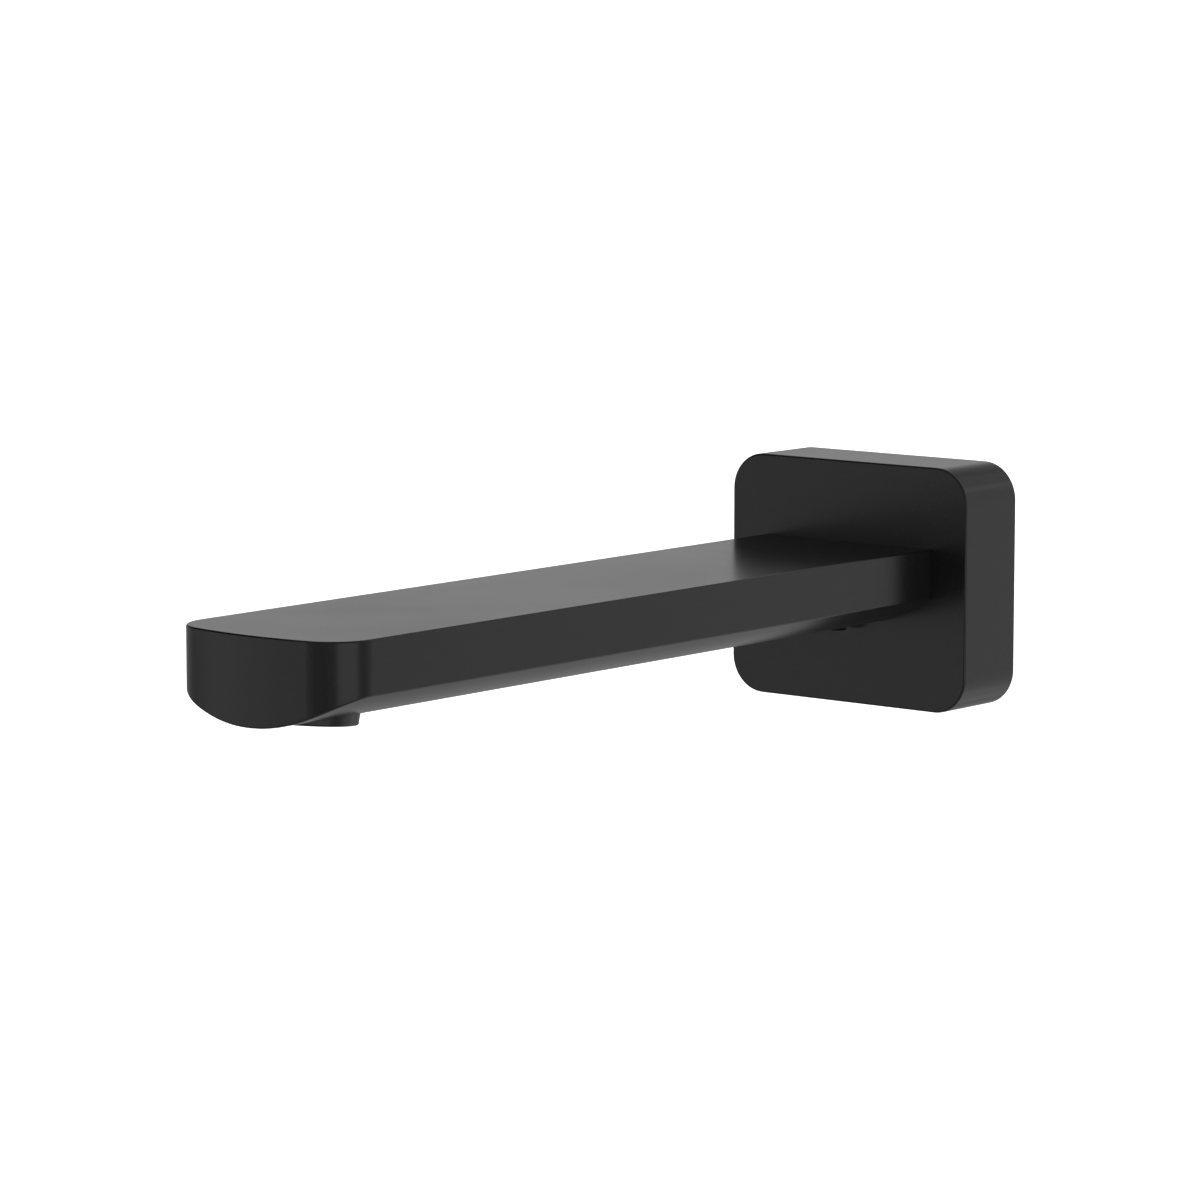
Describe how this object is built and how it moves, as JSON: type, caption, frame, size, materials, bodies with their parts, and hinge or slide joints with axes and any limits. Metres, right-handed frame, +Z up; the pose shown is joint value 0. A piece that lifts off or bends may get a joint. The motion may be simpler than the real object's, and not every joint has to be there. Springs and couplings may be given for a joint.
{
  "type": "wall spout",
  "caption": "Wall-mounted water spout: a flat arm with an arched underside and rounded tip on a deep rounded rectangular wall plate, with a recessed aerator facing down.",
  "frame": {"origin": "on the finished wall's plane, at the middle of the wall plate, which is also the axis of the threaded inlet", "axes": "+Z up; +Y into the wall along the inlet's axis, so the arm reaches out along -Y; +X to the right for a viewer who faces the wall"},
  "size_m": [0.071, 0.2525, 0.06],
  "materials": {
    "black_coating": "matte",
    "bare_brass": "satin",
    "dark_steel": "satin",
    "black_plastic": "matte",
    "grey_plastic": "satin",
    "steel_screen": "satin",
    "rubber_seal": "matte",
    "foam": "matte"
  },
  "bodies": {
    "root": {"spout_body": "black_coating", "wall_plate": "black_coating", "plate_seal": "foam", "inlet_nipple": "bare_brass", "collar_washer": "rubber_seal", "set_screw": "dark_steel", "aerator_housing": "black_plastic", "outlet_honeycomb": "black_plastic", "lower_screen": "steel_screen", "upper_screen": "steel_screen", "mixing_ring": "grey_plastic", "jet_plate": "grey_plastic", "flow_regulator": "grey_plastic", "strainer_cap": "grey_plastic", "aerator_washer": "rubber_seal", "rear_o_ring": "rubber_seal", "front_o_ring": "rubber_seal", "neck_o_ring": "rubber_seal", "regulator_ring": "rubber_seal"}
  },
  "joints": []
}
